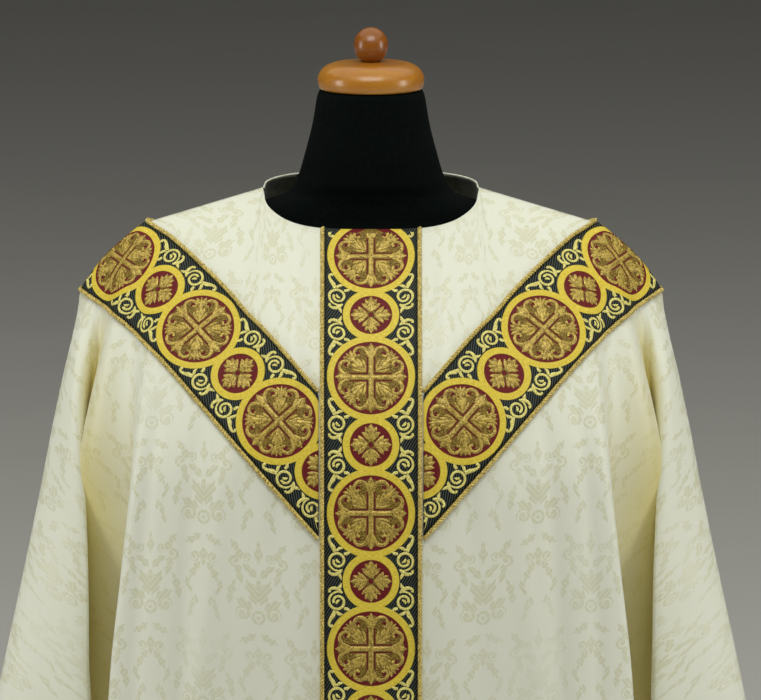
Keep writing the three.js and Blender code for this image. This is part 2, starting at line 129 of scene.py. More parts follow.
# Soft creases laid in the cloth: side of the centre line, place across (0.5 is the middle,
# 1 the seam) and down at each end, depth and half width. A plus depth is a trough.
CREASES = {
    "front": [
        (1, 0.575, 0.30, 0.585, 0.95, 2.4, 0.011),
        (1, 0.625, 0.34, 0.640, 1.00, -2.8, 0.013),
        (1, 0.690, 0.26, 0.655, 0.90, 3.2, 0.012),
        (1, 0.735, 0.22, 0.705, 0.80, 2.6, 0.009),
        (-1, 0.570, 0.33, 0.580, 0.90, 2.0, 0.011),
        (-1, 0.630, 0.30, 0.648, 1.00, -3.2, 0.013),
        (-1, 0.685, 0.28, 0.660, 0.85, 2.6, 0.011),
        (-1, 0.740, 0.24, 0.712, 0.86, 3.0, 0.009),
        (1, 0.905, 0.12, 0.900, 0.60, 1.8, 0.008),
        (-1, 0.900, 0.10, 0.905, 0.64, 2.2, 0.008),
        (1, 0.556, 0.00, 0.552, 0.20, 1.9, 0.0045),
        (1, 0.569, 0.01, 0.563, 0.28, -1.5, 0.0050),
        (-1, 0.558, 0.00, 0.555, 0.24, 2.1, 0.0050),
        (-1, 0.573, 0.01, 0.566, 0.18, -1.3, 0.0045),
    ],
    "back": [
        (1, 0.570, 0.36, 0.585, 1.00, 2.6, 0.012),
        (1, 0.640, 0.28, 0.650, 0.92, -3.0, 0.013),
        (1, 0.700, 0.25, 0.690, 0.80, 2.8, 0.010),
        (-1, 0.580, 0.32, 0.570, 0.94, 2.2, 0.012),
        (-1, 0.635, 0.30, 0.655, 1.00, -2.6, 0.012),
        (-1, 0.695, 0.24, 0.700, 0.85, 3.2, 0.011),
        (1, 0.900, 0.12, 0.905, 0.60, 2.0, 0.008),
        (-1, 0.905, 0.12, 0.900, 0.62, 1.8, 0.008),
    ],
}


def drape_net(panel):
    """Rows of control points from the top edge to the hem, right to left in each row."""
    tops = [*panel["tops"], *SHOULDER_TOPS]
    lead = []
    for x, out, z, lean, reach in tops:
        turn = math.radians(lean)
        spread = 0.06 * reach * min(x / NECK_SIDE, 1)
        lead.append((x + spread, out + reach * math.sin(turn), z - reach * math.cos(turn)))
    half = [[top[:3] for top in tops], lead]
    for step, (level, z) in enumerate(LEVELS.items()):
        ridge_x, ridge_out = panel["folds"][0][step]
        centre_out = panel["centre"][level]
        hem_rise = panel["folds"][0][4] - panel["hem"]
        row = []
        for share in MIDDLE_SHARES:
            out = centre_out - (centre_out - ridge_out) * share**2.2
            row.append((share * ridge_x, out, z or panel["hem"] + hem_rise * share**2.6))
        row += [(*fold[step], z or fold[4]) for fold in panel["folds"]]
        half.append(row)
    half = np.array(half, float)
    above_hem = (half[-2] + half[-1]) / 2
    half = np.insert(half, -1, above_hem, axis=0)
    half[..., 1] = np.maximum(half[..., 1], SEAM_GAP)
    right = half[:, 1:][:, ::-1].copy()
    loose = np.full(right.shape[1], panel["swing"])
    loose[:4] = 1  # the lines beside the seam stay
    right[3:, :, 0] *= loose
    right[..., 0] *= -1
    return np.concatenate([right, half], axis=1)


def spline_weights(count, t):
    """Weights of three neighbouring control points at t, and the first one's index."""
    spans = count - 2
    first = np.clip(np.floor(t * spans), 0, spans - 1).astype(int)
    knot = lambda i: np.clip(i, 0, spans) / spans
    rise = lambda low, high: (t - knot(low)) / (knot(high) - knot(low))
    near = rise(first, first + 1)
    start = (1 - rise(first - 1, first + 1)) * (1 - near)
    end = rise(first, first + 2) * near
    return first, np.stack([start, 1 - start - end, end])


class Drape:
    """The smooth surface of one panel. u runs from its right edge to its left, v down."""

    def __init__(self, side):
        self.side = side
        self.facing = PANELS[side]["facing"]
        self.net = drape_net(PANELS[side])

    def lay(self, u, v):
        u, v = np.broadcast_arrays(np.asarray(u, float), np.asarray(v, float))
        across, across_weights = spline_weights(self.net.shape[1], u)
        down, down_weights = spline_weights(self.net.shape[0], v)
        point = np.zeros((*u.shape, 3))
        for i in range(3):
            for j in range(3):
                weight = (down_weights[i] * across_weights[j])[..., None]
                point += weight * self.net[down + i, across + j]
        point[..., 1] *= self.facing
        return point

    def slopes(self, u, v):
        step = 0.001
        top = np.maximum(v, 2 * step)
        across = (self.lay(u + step, top) - self.lay(u - step, top)) / (2 * step)
        down = (self.lay(u, top + step) - self.lay(u, top - step)) / (2 * step)
        return across, down

    def normal(self, u, v):
        normal = np.cross(*self.slopes(u, v)) * self.facing
        return normal / np.linalg.norm(normal, axis=-1, keepdims=True)

    def crease(self, u, v):
        """How far the soft creases push the cloth in."""
        depth = np.zeros(np.broadcast(u, v).shape)
        for side, top_u, top_v, low_u, low_v, deep, half_width in CREASES[self.side]:
            share = np.clip((v - top_v) / (low_v - top_v), 0, 1)
            fade = np.clip((v - top_v) / 0.08, 0, 1) * np.clip((low_v + 0.1 - v) / 0.1, 0, 1)
            middle = 0.5 + side * (top_u + (low_u - top_u) * share**0.8 - 0.5)
            depth += deep * fade**2 * (3 - 2 * fade) * np.exp(-(((u - middle) / half_width) ** 2))
        return depth

    def face(self, u, v, lift=0.0):
        """The point lift above the cloth's face, creases included."""
        rise = np.asarray(lift - self.crease(u, v))[..., None]
        point = self.lay(u, v) + self.normal(u, v) * rise
        point[..., 1] = self.facing * np.maximum(self.facing * point[..., 1], SEAM_GAP)
        return point


def even_places(drape, count, along_u):
    """Parameter values that split the cloth into steps of about equal length."""
    fine = np.linspace(0, 1, 1501)
    steps = np.zeros(len(fine) - 1)
    for other in (0.12, 0.3, 0.45, 0.62, 0.8, 0.93) if along_u else (0.5, 0.58, 0.7, 0.85, 0.95):
        line = drape.lay(fine, other) if along_u else drape.lay(other, fine)
        length = np.linalg.norm(np.diff(line, axis=0), axis=1)
        steps += length / length.sum()
    steps += 0.25 * steps.mean()
    total = np.concatenate([[0], np.cumsum(steps)])
    return np.interp(np.linspace(0, total[-1], count), total, fine)


def new_piece(name, points, faces):
    """A smooth piece made of faces between points, which are in millimetres."""
    mesh = bpy.data.meshes.new(name)
    mesh.from_pydata((points / 1000).tolist(), [], faces)
    mesh.shade_smooth()
    piece = bpy.data.objects.new(name, mesh)
    bpy.context.collection.objects.link(piece)
    return piece


def shell(name, outer, inner, cloth_uv):
    """A thin closed sheet between two grids of points, with the same layout on both faces."""
    rows, columns = outer.shape[:2]
    count = rows * columns
    at = np.arange(count).reshape(rows, columns)
    quads = np.stack([at[:-1, :-1], at[:-1, 1:], at[1:, 1:], at[1:, :-1]], -1).reshape(-1, 4)
    rim = np.concatenate([at[0, :-1], at[:-1, -1], at[-1, :0:-1], at[:0:-1, 0]])
    onward = np.roll(rim, -1)
    band = np.stack([onward, rim, rim + count, onward + count], -1)
    faces = np.concatenate([quads, quads[:, ::-1] + count, band])
    row, column = rows // 2, columns // 2
    middle = outer[row, column]
    facing = np.cross(outer[row, column + 1] - middle, outer[row + 1, column] - middle)
    if np.dot(facing, middle - inner[row, column]) < 0:
        faces = faces[:, ::-1]
    points = np.concatenate([outer.reshape(-1, 3), inner.reshape(-1, 3)])
    piece = new_piece(name, points, faces.tolist())
    mesh = piece.data
    flat = np.concatenate([cloth_uv.reshape(-1, 2)] * 2)
    corners = np.zeros(len(mesh.loops), np.int32)
    mesh.loops.foreach_get("vertex_index", corners)
    mesh.uv_layers.new(name="cloth").data.foreach_set("uv", flat[corners].astype(np.float32).ravel())
    return piece


class Dye:
    """A number, colour or vector that varies over a finish: one socket of its nodes."""

    def __init__(self, tree, socket):
        self.tree = tree
        self.socket = socket

    def node(self, kind, settings=(), sockets=(), output=0):
        made = self.tree.nodes.new(kind)
        for name, value in dict(settings).items():
            setattr(made, name, value)
        for name, value in dict(sockets).items():
            if isinstance(value, Dye):
                self.tree.links.new(value.socket, made.inputs[name])
            else:
                made.inputs[name].default_value = value
        return Dye(self.tree, made.outputs[output])

    def spot(self):
        """Places on a piece in its own metres."""
        return self.node("ShaderNodeTexCoord", output=3)

    def layout(self):
        """Places on cloth or galloon laid flat, in metres."""
        return self.node("ShaderNodeUVMap", {"uv_map": "cloth"})

    def parts(self):
        """The x, y and z of places."""
        split = self.node("ShaderNodeSeparateXYZ", {}, {"Vector": self})
        return [Dye(self.tree, part) for part in split.socket.node.outputs]

    def maths(self, operation, *values):
        return self.node("ShaderNodeMath", {"operation": operation}, enumerate(values))

    def __add__(self, other): return self.maths("ADD", self, other)
    def __radd__(self, other): return self.maths("ADD", other, self)
    def __sub__(self, other): return self.maths("SUBTRACT", self, other)
    def __rsub__(self, other): return self.maths("SUBTRACT", other, self)
    def __mul__(self, other): return self.maths("MULTIPLY", self, other)
    def __rmul__(self, other): return self.maths("MULTIPLY", other, self)
    def __truediv__(self, other): return self.maths("DIVIDE", self, other)
    def __pow__(self, other): return self.maths("POWER", self, other)
    def __mod__(self, other): return self.maths("FLOORED_MODULO", self, other)
    def __abs__(self): return self.maths("ABSOLUTE", self)
    def __neg__(self): return self.maths("MULTIPLY", self, -1)

    def most(self, other): return self.maths("MAXIMUM", self, other)
    def least(self, other): return self.maths("MINIMUM", self, other)
    def sine(self): return self.maths("SINE", self)
    def cosine(self): return self.maths("COSINE", self)

    def soft(self, low, high):
        """0 below low, 1 above high, and smooth between."""
        return self.node("ShaderNodeMapRange", {"interpolation_type": "SMOOTHSTEP"},
                         {"Value": self, "From Min": low, "From Max": high})

    def blend(self, under, over):
        """The under colour where this is 0, the over colour where it is 1."""
        as_colour = lambda c: c if isinstance(c, Dye) else (*c, 1)
        return self.node("ShaderNodeMix", {"data_type": "RGBA"},
                         {"Factor": self, 6: as_colour(under), 7: as_colour(over)}, output=2)

    def grain(self, place, scale, detail=2.0):
        return self.node("ShaderNodeTexNoise", {}, {"Vector": place, "Scale": scale, "Detail": detail})

    def stretched(self, place, scale, turn=(0, 0, 0)):
        return self.node("ShaderNodeMapping", {}, {"Vector": place, "Scale": scale, "Rotation": turn})

    def bump(self, height, strength, distance):
        return self.node("ShaderNodeBump", {},
                         {"Height": height, "Strength": strength, "Distance": distance})


def new_finish(name, **constants):
    """A material, the dye that its nodes start from, and a function that feeds its shader."""
    finish = bpy.data.materials.new(name)
    finish.use_nodes = True
    tree = finish.node_tree
    shader = tree.nodes["Principled BSDF"]
    for socket, value in constants.items():
        shader.inputs[socket.replace("_", " ")].default_value = value

    def feed(**values):
        for socket, value in values.items():
            tree.links.new(value.socket, shader.inputs[socket.replace("_", " ")])

    return finish, Dye(tree, None), feed


def leaf(x, y, foot, turn, length, width, bend=0.0, lobes=2.6):
    """A leaf with a lobed edge, from its foot and turned from upright, as a 0 to 1 mask."""
    slope = math.radians(turn)
    along = ((x - foot[0]) * math.sin(slope) + (y - foot[1]) * math.cos(slope)) / length
    aside = (x - foot[0]) * math.cos(slope) - (y - foot[1]) * math.sin(slope)
    hump = along * (1 - along)
    spread = abs(aside - hump * bend)
    lobe = ((along * lobes - spread * (0.10 / width * lobes)) * math.tau).cosine()
    return (hump * (lobe * (-1.3 * width) + 3.9 * width) - spread).soft(-0.3, 1.2)


def scroll(x, y, middle, radius, thick, turns, hand=1):
    """A curl that thickens inwards to a round end, as a mask."""
    across = x - middle[0]
    up = y - middle[1]
    reach = (across * across + up * up) ** 0.5
    angle = (up * hand).maths("ARCTAN2", up * hand, across) / math.tau
    winding = abs((reach * (turns / radius) - angle) % 1 - 0.5)
    line = (thick * turns / radius - winding).soft(-0.05, 0.12) * (radius - reach).soft(-0.5, 0.8)
    return line.most((radius * 0.30 - reach).soft(-0.5, 0.8))


DAMASK_ACROSS = 180
DAMASK_DOWN = 300
DAMASK_SCALE = 0.64
# Half of the figure, which is mirrored. A leaf: foot, turn, length, width, bend and lobes.
# A curl: middle, radius, thickness, turns and hand.
DAMASK_LEAVES = (
    ((0, 96), 0, 40, 6, 0, 1.6),
    ((0, 34), 0, 40, 8, 0, 1.6),
    ((3, 30), 22, 46, 8, -7, 2.4),
    ((8, 24), 62, 34, 7, -6, 2.4),
    ((3, -14), 118, 34, 6, 8, 2.4),
    ((0, -34), 180, 34, 7, 0, 1.6),
    ((4, -58), 148, 40, 6, -9, 2.6),
    ((2, 74), 48, 34, 6, -7, 2.2),
    ((26, 62), 12, 44, 6, 9, 2.8),
    ((48, 26), -14, 46, 6, 9, 2.8),
    ((44, -16), 150, 44, 6, -9, 2.8),
    ((30, -84), 196, 38, 5, -8, 2.8),
    ((62, -4), 14, 40, 4.5, 8, 2.8),
    ((14, -112), 176, 30, 5, 5, 1.8),
)
DAMASK_CURLS = (
    ((25, 17), 13, 3.4, 1.4, -1),
    ((16, -52), 9, 2.6, 1.2, 1),
    ((52, -50), 11, 2.6, 1.4, 1),
    ((20, 108), 8, 2.2, 1.2, 1),
)
damask, dye, feed = new_finish("damask", Sheen_Weight=0.1, Sheen_Roughness=0.4, Specular_IOR_Level=0.5)
cloth_place = dye.layout()
cloth_x, cloth_y, _ = cloth_place.parts()
across = cloth_x * (1000 / DAMASK_SCALE)
down = cloth_y * (1000 / DAMASK_SCALE)
# The figure stands in two sets of columns, half a drop apart: each point takes the nearer.
first_x = (across + DAMASK_ACROSS / 2) % DAMASK_ACROSS - DAMASK_ACROSS / 2
first_y = (down + DAMASK_DOWN / 2) % DAMASK_DOWN - DAMASK_DOWN / 2
other_x = across % DAMASK_ACROSS - DAMASK_ACROSS / 2
other_y = down % DAMASK_DOWN - DAMASK_DOWN / 2
edge = abs(first_x) / (DAMASK_ACROSS / 2) + abs(first_y) / (DAMASK_DOWN / 2)
inside = edge.maths("LESS_THAN", edge, 1.0)
x = abs(other_x + (first_x - other_x) * inside)
y = -(other_y + (first_y - other_y) * inside)
figure = leaf(x, y, *DAMASK_LEAVES[0])
for spray in DAMASK_LEAVES[1:]:
    figure = figure.most(leaf(x, y, *spray))
rosette = (x * x + (y - 12) * (y - 12)) ** 0.5
figure = figure.most((2.6 - abs(rosette - 9)).soft(-0.4, 0.8))
figure = figure.most((3.6 - rosette).soft(-0.4, 0.8))
for tendril in DAMASK_CURLS:
    figure = figure.most(scroll(x, y, *tendril))
veins = ((x * 0.8 - y * 0.7) * 0.9).sine().soft(-0.9, -0.3)
figure = figure * (0.45 + 0.55 * veins)
faint = dye.grain(cloth_place, 6.5, 3.0)
figure = figure * faint.soft(0.22, 0.52)
slub = dye.grain(dye.stretched(cloth_place, (900, 26, 1)), 1.0, 2.0)
rib = dye.grain(dye.stretched(cloth_place, (60, 1500, 1)), 1.0, 1.0)
# Painted shade: a value kept on each point of the cloth, high inside the deep folds, mixes the colour towards
# dark yellow, standing in for the shade there.
depth = dye.node("ShaderNodeAttribute", {"attribute_name": "fold_painted_shade"}, output=2)
ivory = slub.blend((0.735, 0.745, 0.615), (0.77, 0.78, 0.65))
figured = figure.blend(ivory, (0.665, 0.655, 0.475))
feed(
    Base_Color=depth.blend(figured, (0.66, 0.545, 0.12)),
    Roughness=0.50 - 0.24 * figure + 0.06 * slub,
    Normal=dye.bump(figure * 0.6 + slub * 0.35 + rib * 0.2, 0.35, 0.0006),
)

# Painted shade: the insides of the deep folds are tinted darker and yellower, standing in
# for their shade and the warm light bounced inside them. Each: drape line, half the spread,
# strength, and how far down it starts and over what share it grows.
PAINTED_FOLD_SHADE = (
    (22, 0.020, 0.50, 0.24, 0.24),
    (23, 0.026, 0.85, 0.20, 0.24),
    (24, 0.024, 1.00, 0.15, 0.12),
    (27, 0.016, 0.50, 0.17, 0.12),
)
CHEST_SHARE = 0.32


def run_lengths(points, axis):
    """Lengths along the rows or columns of a grid of points, from its first edge."""
    steps = np.cumsum(np.linalg.norm(np.diff(points, axis=axis), axis=2), axis=axis)
    return np.concatenate([np.zeros_like(steps.take([0], axis=axis)), steps], axis=axis)


drapes = {side: Drape(side) for side in PANELS}
for side, drape in drapes.items():
    u = even_places(drape, PANEL_COLUMNS, True)
    v = even_places(drape, PANEL_ROWS, False)
    grid_u, grid_v = np.meshgrid(u, v)
    outer = drape.face(grid_u, grid_v)
    inner = drape.face(grid_u, grid_v, -CLOTH)
    along_row = run_lengths(outer, 1)
    centre = np.array([np.interp(0.5, u, row) for row in along_row])
    down_line = run_lengths(outer, 0)
    chest = np.array([np.interp(CHEST_SHARE, v, line) for line in down_line.T])
    layout = np.stack([along_row - centre[:, None], down_line - chest], -1) / 1000
    piece = shell(f"{side}_panel_cloth", outer, inner, layout)
    piece.data.materials.append(damask)
    away = np.abs(grid_u - 0.5) * 2
    # Painted shade: how strongly each point is tinted dark yellow inside the deep folds, kept on the mesh for
    # the damask finish.
    deep = np.zeros(grid_u.shape)
    for line, spread, strength, start, growth in PAINTED_FOLD_SHADE:
        middle = (2 * line - 1) / (drape.net.shape[1] - 2) - 1
        painted_shade = strength * np.exp(-(((away - middle) / (2 * spread)) ** 2))
        deep = np.maximum(deep, painted_shade * np.clip((grid_v - start) / growth, 0, 1))
    shade = piece.data.attributes.new("fold_painted_shade", "FLOAT", "POINT")
    shade.data.foreach_set("value", np.concatenate([deep.ravel()] * 2).astype(np.float32))
    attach(piece, "root")
    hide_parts(f"{side}_panel")


# ---- Orphrey bands ------------------------------------------------------------------
# Woven galloon, 93 mm wide between the cords that hide its edges: one column down the
# middle of each panel and two arms that rise from it over the shoulders. Its ground is
# dark green-black twill with roundels, large and small in turn: yellow rings on burgundy.
GALLOON_WIDTH = 95.6
GALLOON_FACE = 1.35
GALLOON_BACK = 0.25
COLUMN_ROWS = 290
ARM_ROWS = 120
CORD_LINE = 49.8
REPEAT = 137.0
# Along a band: the first roundel, and the distance from one large roundel to the next.
COLUMN_FIRST = 33.4
COLUMN_PITCH = 139.4
ARM_FIRST = 62
ARM_PITCH = 137.2
# An arm starts this far out, from a height on the column and at a rise in degrees, and
# bends once it has run straight: more and more, up to so many degrees a millimetre.
ARM_START = 53.2
ARMS = {"front": (1132, 48.2), "back": (1132, 44.7)}
ARM_STRAIGHT = 180
ARM_EASE = 100
ARM_BEND = 0.041
ARM_STEPS = 128


class Band:
    """Places on a panel by their distance along a band's middle line and across it."""

    STEP_ALONG = 4.0
    STEP_ACROSS = 2.0
    SIDE_STEPS = 27

    def __init__(self, drape, u, v, first, pitch):
        self.drape = drape
        self.u = u
        self.v = v
        self.first = first
        self.pitch = pitch

    def places(self, along, across):
        i = np.clip(along / self.STEP_ALONG, 0, self.u.shape[0] - 1.001)
        j = np.clip(across / self.STEP_ACROSS + self.SIDE_STEPS, 0, self.u.shape[1] - 1.001)
        low_i, low_j = i.astype(int), j.astype(int)
        part_i, part_j = i - low_i, j - low_j
        mixed = []
        for grid in (self.u, self.v):
            near = grid[low_i, low_j] * (1 - part_j) + grid[low_i, low_j + 1] * part_j
            far = grid[low_i + 1, low_j] * (1 - part_j) + grid[low_i + 1, low_j + 1] * part_j
            mixed.append(near * (1 - part_i) + far * part_i)
        return mixed

    def face(self, along, across, lift):
        return self.drape.face(*self.places(along, across), lift)

    def span(self, across, inner):
        """Where the strand at this distance across starts and ends."""
        lengths = np.arange(0, (self.u.shape[0] - 1) * self.STEP_ALONG, 1.0)
        u, v = self.places(lengths, np.full(len(lengths), float(across)))
        x = np.abs(self.drape.lay(u, v)[..., 0])
        start = 0.0 if inner is None else np.interp(inner, x[:160], lengths[:160])
        fall = v if inner is None else -v
        goal = 1.0 if inner is None else 0.0
        beyond = np.argmax(fall > goal) if (fall > goal).any() else len(lengths) - 1
        before = max(beyond - 1, 0)
        share = (goal - fall[before]) / max(fall[beyond] - fall[before], 1e-9)
        return start, lengths[before] + np.clip(share, 0, 1)


def column_band(drape):
    fine = np.linspace(0, 1.02, 2001)
    line = drape.lay(0.5, fine)
    length = np.concatenate([[0], np.cumsum(np.linalg.norm(np.diff(line, axis=0), axis=1))])
    v_row = np.interp(np.arange(0, length[-1], Band.STEP_ALONG), length, fine)
    x_row = np.arange(-Band.SIDE_STEPS, Band.SIDE_STEPS + 1) * Band.STEP_ACROSS
    near = np.linspace(0.42, 0.58, 161)
    u = np.array([np.interp(x_row, drape.lay(near, v)[:, 0], near) for v in v_row])
    v = np.repeat(v_row[:, None], len(x_row), axis=1)
    return Band(drape, u, v, COLUMN_FIRST, COLUMN_PITCH)


def stroll(drape, u, v, heading, distance):
    """One step straight ahead on the cloth."""
    across, down = drape.slopes(u, v)
    dot = lambda a, b: (a * b).sum(-1)
    aa, dd, ad = dot(across, across), dot(down, down), dot(across, down)
    ah, dh = dot(across, heading), dot(down, heading)
    scale = distance / (aa * dd - ad * ad)
    u = u + scale * (dd * ah - ad * dh)
    v = v + scale * (aa * dh - ad * ah)
    normal = drape.normal(u, v)
    heading = heading - dot(heading, normal)[..., None] * normal
    return u, v, heading / np.linalg.norm(heading, axis=-1, keepdims=True)


def arm_band(drape, side):
    """An arm of the Y, walked out over the cloth and bent outwards towards the shoulder."""
    meet, rise = ARMS[drape.side]
    fine = np.linspace(0, 0.9, 4001)
    u = np.array([0.5])
    v = np.array([np.interp(-meet, -drape.lay(0.5, fine)[:, 2], fine)])
    slope = math.radians(rise)
    heading = np.array([[side * math.cos(slope), 0, math.sin(slope)]])
    middle = []
    for step in range(ARM_STEPS):
        middle.append((u, v, heading))
        for _ in range(2):
            u, v, heading = stroll(drape, u, v, heading, Band.STEP_ALONG / 2)
        share = min(max(((step + 1) * Band.STEP_ALONG - ARM_STRAIGHT) / ARM_EASE, 0), 1)
        turn = math.radians(ARM_BEND * share * Band.STEP_ALONG) * side * drape.facing
        heading = heading * math.cos(turn) + np.cross(drape.normal(u, v), heading) * math.sin(turn)
    mid_u, mid_v, ahead = (np.concatenate(part) for part in zip(*middle))
    aside = np.cross(drape.normal(mid_u, mid_v), ahead) * side * drape.facing
    strands = {0: (mid_u, mid_v)}
    for hand in (1, -1):
        u, v, heading = mid_u, mid_v, aside * hand
        for step in range(1, Band.SIDE_STEPS + 1):
            u, v, heading = stroll(drape, u, v, heading, Band.STEP_ACROSS)
            strands[hand * step] = (u, v)
    order = range(-Band.SIDE_STEPS, Band.SIDE_STEPS + 1)
    grids = (np.stack([strands[k][part] for k in order], 1) for part in (0, 1))
    band = Band(drape, *grids, 0, ARM_PITCH)
    band.first = band.span(0, ARM_START)[0] + ARM_FIRST
    return band


bands = {}
for side, drape in drapes.items():
    bands[f"{side}_column"] = (column_band(drape), None)
    bands[f"{side}_arm_left"] = (arm_band(drape, 1), ARM_START)
    bands[f"{side}_arm_right"] = (arm_band(drape, -1), ARM_START)

galloon, dye, feed = new_finish("galloon", Specular_IOR_Level=0.18)
band_place = dye.layout()
band_x, band_y, _ = band_place.parts()
w = band_x * 1000
t = band_y * 1000
to_large = (t + REPEAT / 2) % REPEAT - REPEAT / 2
to_small = t % REPEAT - REPEAT / 2
large = (w * w + to_large * to_large) ** 0.5
small = (w * w + to_small * to_small) ** 0.5
ring = (45.0 - large).soft(-0.3, 0.5).most((29.0 - small).soft(-0.3, 0.5))
disc = (38.2 - large).soft(-0.3, 0.5).most((21.8 - small).soft(-0.3, 0.5))
# Gold thread fills most of a disc, but for thin lines beside its cross and in its curls.
wide, long = abs(w), abs(to_large)
bar_gap = (0.75 - abs(wide.least(long) - 3.7)).soft(-0.3, 0.4) * (25.5 - wide.most(long)).soft(-1, 1)
turn = w.maths("ARCTAN2", w, to_large)
outer = 33.0 + 1.4 * (turn * 8).cosine()
eye = ((wide.least(long) - 13.2) ** 2 + (wide.most(long) - 25.2) ** 2) ** 0.5
field = (outer - large).soft(-0.5, 0.6) * (1 - bar_gap) * (1 - (2.3 - eye).soft(-0.4, 0.4))
wide, long = abs(w), abs(to_small)
turn = w.maths("ARCTAN2", w, to_small)
outer = 15.2 + 4.4 * (turn * 4).cosine()
leaf_gap = (1.0 - abs(wide - long)).soft(-0.3, 0.5) * (small - 5).soft(-1, 1)
field = field.most((outer - small).soft(-0.5, 0.6) * (1 - leaf_gap) * (small - 2.6).soft(-0.3, 0.5))
twill = ((w * 1.9 + t * 1.15) * 1.15).sine()
weave = dye.grain(dye.stretched(band_place, (1400, 900, 1)), 1.0, 1.0)
floss = dye.grain(dye.stretched(band_place, (260, 1800, 1)), 1.0, 2.0)
ground = twill.soft(0.45, 1.0).blend((0.0020, 0.0032, 0.0028), (0.095, 0.115, 0.095))
yellow = floss.soft(0.32, 0.68).blend((0.60, 0.43, 0.035), (0.82, 0.66, 0.085))
wine = weave.soft(0.35, 0.65).blend((0.075, 0.004, 0.006), (0.20, 0.017, 0.018))
spark = dye.grain(band_place, 620.0, 1.0)
thread = spark.soft(0.36, 0.64).blend((0.10, 0.055, 0.008), (0.30, 0.20, 0.035))
relief = ring * 1.2 - disc * 0.7 + field * 0.6 + twill * 0.22 * (1 - ring) + floss * 0.5 * ring
feed(
    Base_Color=disc.blend(ring.blend(ground, yellow), field.blend(wine, thread)),
    Roughness=0.62 - 0.2 * ring + 0.15 * disc,
    Normal=dye.bump(relief + (weave + spark * field) * 0.5, 0.8, 0.0005),
)

for name, (band, inner) in bands.items():
    across = np.linspace(-GALLOON_WIDTH / 2, GALLOON_WIDTH / 2, 27)
    ends = np.array([band.span(w_place, inner) for w_place in across])
    share = np.linspace(0, 1, COLUMN_ROWS if inner is None else ARM_ROWS)[:, None]
    along = ends[:, 0] * (1 - share) + ends[:, 1] * share
    wide = np.broadcast_to(across, along.shape)
    layout = np.stack([wide, (along - band.first) * REPEAT / band.pitch], -1) / 1000
    face, back = (band.face(along, wide, lift) for lift in (GALLOON_FACE, GALLOON_BACK))
    piece = shell(f"{name}_galloon", face, back, layout)
    piece.data.materials.append(galloon)
    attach(piece, "root")
    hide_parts(name)


# ---- Embroidered figures ------------------------------------------------------------
# Raised gold-thread work on the galloon. A large roundel holds a cross whose arms end in
# curls, with a palmette in each quarter. A small one holds four leaves round a wine dot.
# Yellow scrolls with leaves fill the corners between them.
LIFT = GALLOON_FACE - 0.15

# Strips of satin stitch: points (across, along) from the figure's middle, widths, height
# and steps. Those of a pair are mirrored too.
LARGE_SINGLE = (
    ([(0, 0), (0, 12), (0, 27)], (4.8, 4.8, 5.6), 1.0, 9),
    ([(0, 25), (0, 30), (0, 36.5)], (11, 8, 0.8), 0.8, 6),
    ([(5.4, 5.4), (12, 12), (18.5, 18.5), (25.4, 25.4)], (2.0, 5.6, 5.2, 0.8), 0.9, 12),
)
LARGE_PAIR = (
    ([(2.0, 22), (4.4, 28.4), (9.6, 32), (15, 30.6), (17.4, 25.8), (14.8, 22), (11.6, 23.8)],
     (3.6, 4.0, 4.0, 3.6, 3.2, 2.8, 3.0), 0.9, 16),
    ([(5.9, 6.8), (6.2, 12), (7.6, 16.6), (8.8, 18.6)], (1.6, 3.0, 2.8, 0.8), 0.7, 9),
    ([(8.4, 8.4), (10.4, 14.2), (13.2, 18.4), (13.8, 20.4)], (2.0, 4.0, 3.6, 0.9), 0.75, 9),
    ([(15.5, 15.5), (18.6, 21.4), (20.6, 26), (21, 28.6)], (2.2, 4.2, 3.6, 0.8), 0.75, 9),
)
SMALL_SINGLE = (
    ([(0, 3.6), (0, 10), (0, 15.5), (0, 21)], (3.6, 7.0, 6.4, 0.8), 0.9, 11),
)
SMALL_PAIR = (
    ([(1.4, 5.0), (4.0, 8.4), (6.6, 10.9), (9.4, 12.8)], (2.2, 4.8, 4.8, 0.8), 0.7, 9),
    ([(1.8, 12.0), (4.4, 14.9), (5.6, 18.0)], (2.4, 4.0, 0.8), 0.75, 7),
)


def turned(path, turn, flip=1):
    c, s = math.cos(math.radians(turn)), math.sin(math.radians(turn))
    return [(c * x * flip - s * y, s * x * flip + c * y) for x, y in path]


def eased(points, slope, place):
    """The smooth line that runs through points with a slope at each, at the given places."""
    low = np.clip(place.astype(int), 0, len(points) - 2)
    f = (place - low)[:, None]
    return ((2 * f**3 - 3 * f**2 + 1) * points[low] + (f**3 - 2 * f**2 + f) * slope[low]
            + (3 * f**2 - 2 * f**3) * points[low + 1] + (f**3 - f**2) * slope[low + 1])


def satin(path, widths, height, steps):
    """A strip of satin stitch: its points (x, y, lift) in rows of four, and its faces."""
    points = np.array(path, float)
    place = np.linspace(0, len(path) - 1, steps)
    before = np.vstack([2 * points[0] - points[1], points[:-1]])
    after = np.vstack([points[1:], 2 * points[-1] - points[-2]])
    line = eased(points, (after - before) / 2, place)
    knots = np.arange(len(path))
    wide = np.interp(knots / knots[-1], np.linspace(0, 1, len(widths)), widths)
    wide = np.interp(place, knots, wide)
    ahead = np.gradient(line, axis=0)
    ahead /= np.maximum(np.linalg.norm(ahead, axis=1, keepdims=True), 1e-6)
    aside = np.stack([-ahead[:, 1], ahead[:, 0]], 1) * wide[:, None] / 2
    rise = height * np.clip(wide / 2.4, 0.45, 1)
    rows = [np.column_stack([line + aside * out, rise * raised])
            for out, raised in ((1, 0), (0.55, 1), (-0.55, 1), (-1, 0))]
    first = np.arange(4 * (steps - 1)).reshape(-1, 4)[:, :3].reshape(-1, 1)
    return np.stack(rows, 1).reshape(-1, 3), first + np.array([0, 1, 5, 4])


def roundel(single, pair):
    """The strips of a roundel's figure, which is the same in its four quarters."""
    return [satin(turned(path, turn, hand), *sizes)
            for turn in (0, 90, 180, 270)
            for strips, hands in ((single, (1,)), (pair, (1, -1)))
            for path, *sizes in strips for hand in hands]


